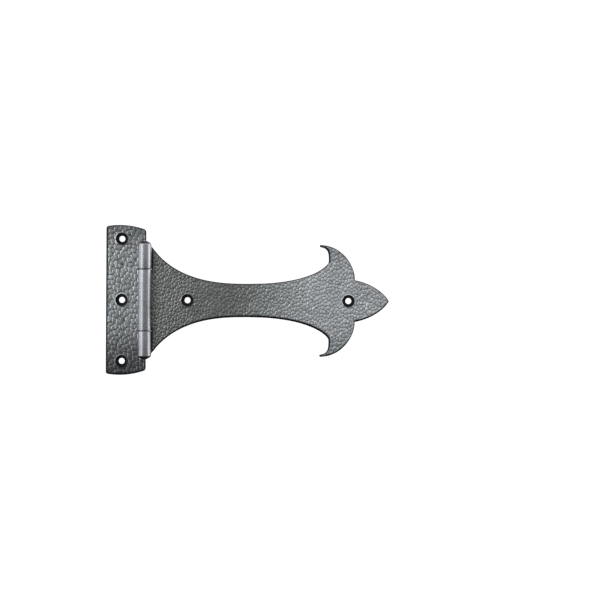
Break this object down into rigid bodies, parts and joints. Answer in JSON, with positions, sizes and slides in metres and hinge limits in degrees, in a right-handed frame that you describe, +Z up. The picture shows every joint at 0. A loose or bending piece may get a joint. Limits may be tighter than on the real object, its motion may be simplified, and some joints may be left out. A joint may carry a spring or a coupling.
{
  "type": "t hinge",
  "caption": "Surface-mounted hammered T-hinge: an upright frame leaf, a plain pin barrel and a waisted strap leaf ending in a fleur-de-lis; it hangs a door, gate or cupboard.",
  "frame": {"origin": "in the common back plane of both plates (the wall), straight behind the middle of the hinge pin", "axes": "+Z up along the hinge pin, +X along the strap towards its tip, +Y into the wall, so the hammered fronts face -Y"},
  "size_m": [0.2, 0.0094, 0.106],
  "materials": {
    "pewter_iron": "hammered, satin pewter",
    "pin_steel": "satin"
  },
  "bodies": {
    "frame": {"frame_leaf": "pewter_iron", "hinge_pin": "pin_steel"},
    "strap": {"strap_leaf": "pewter_iron"}
  },
  "joints": [
    {"name": "strap_swing", "type": "hinge", "parent": "frame", "child": "strap", "pos_m": [0, -0.00475, 0], "axis": [0, 0, -1], "range_deg": [0, 180]}
  ]
}
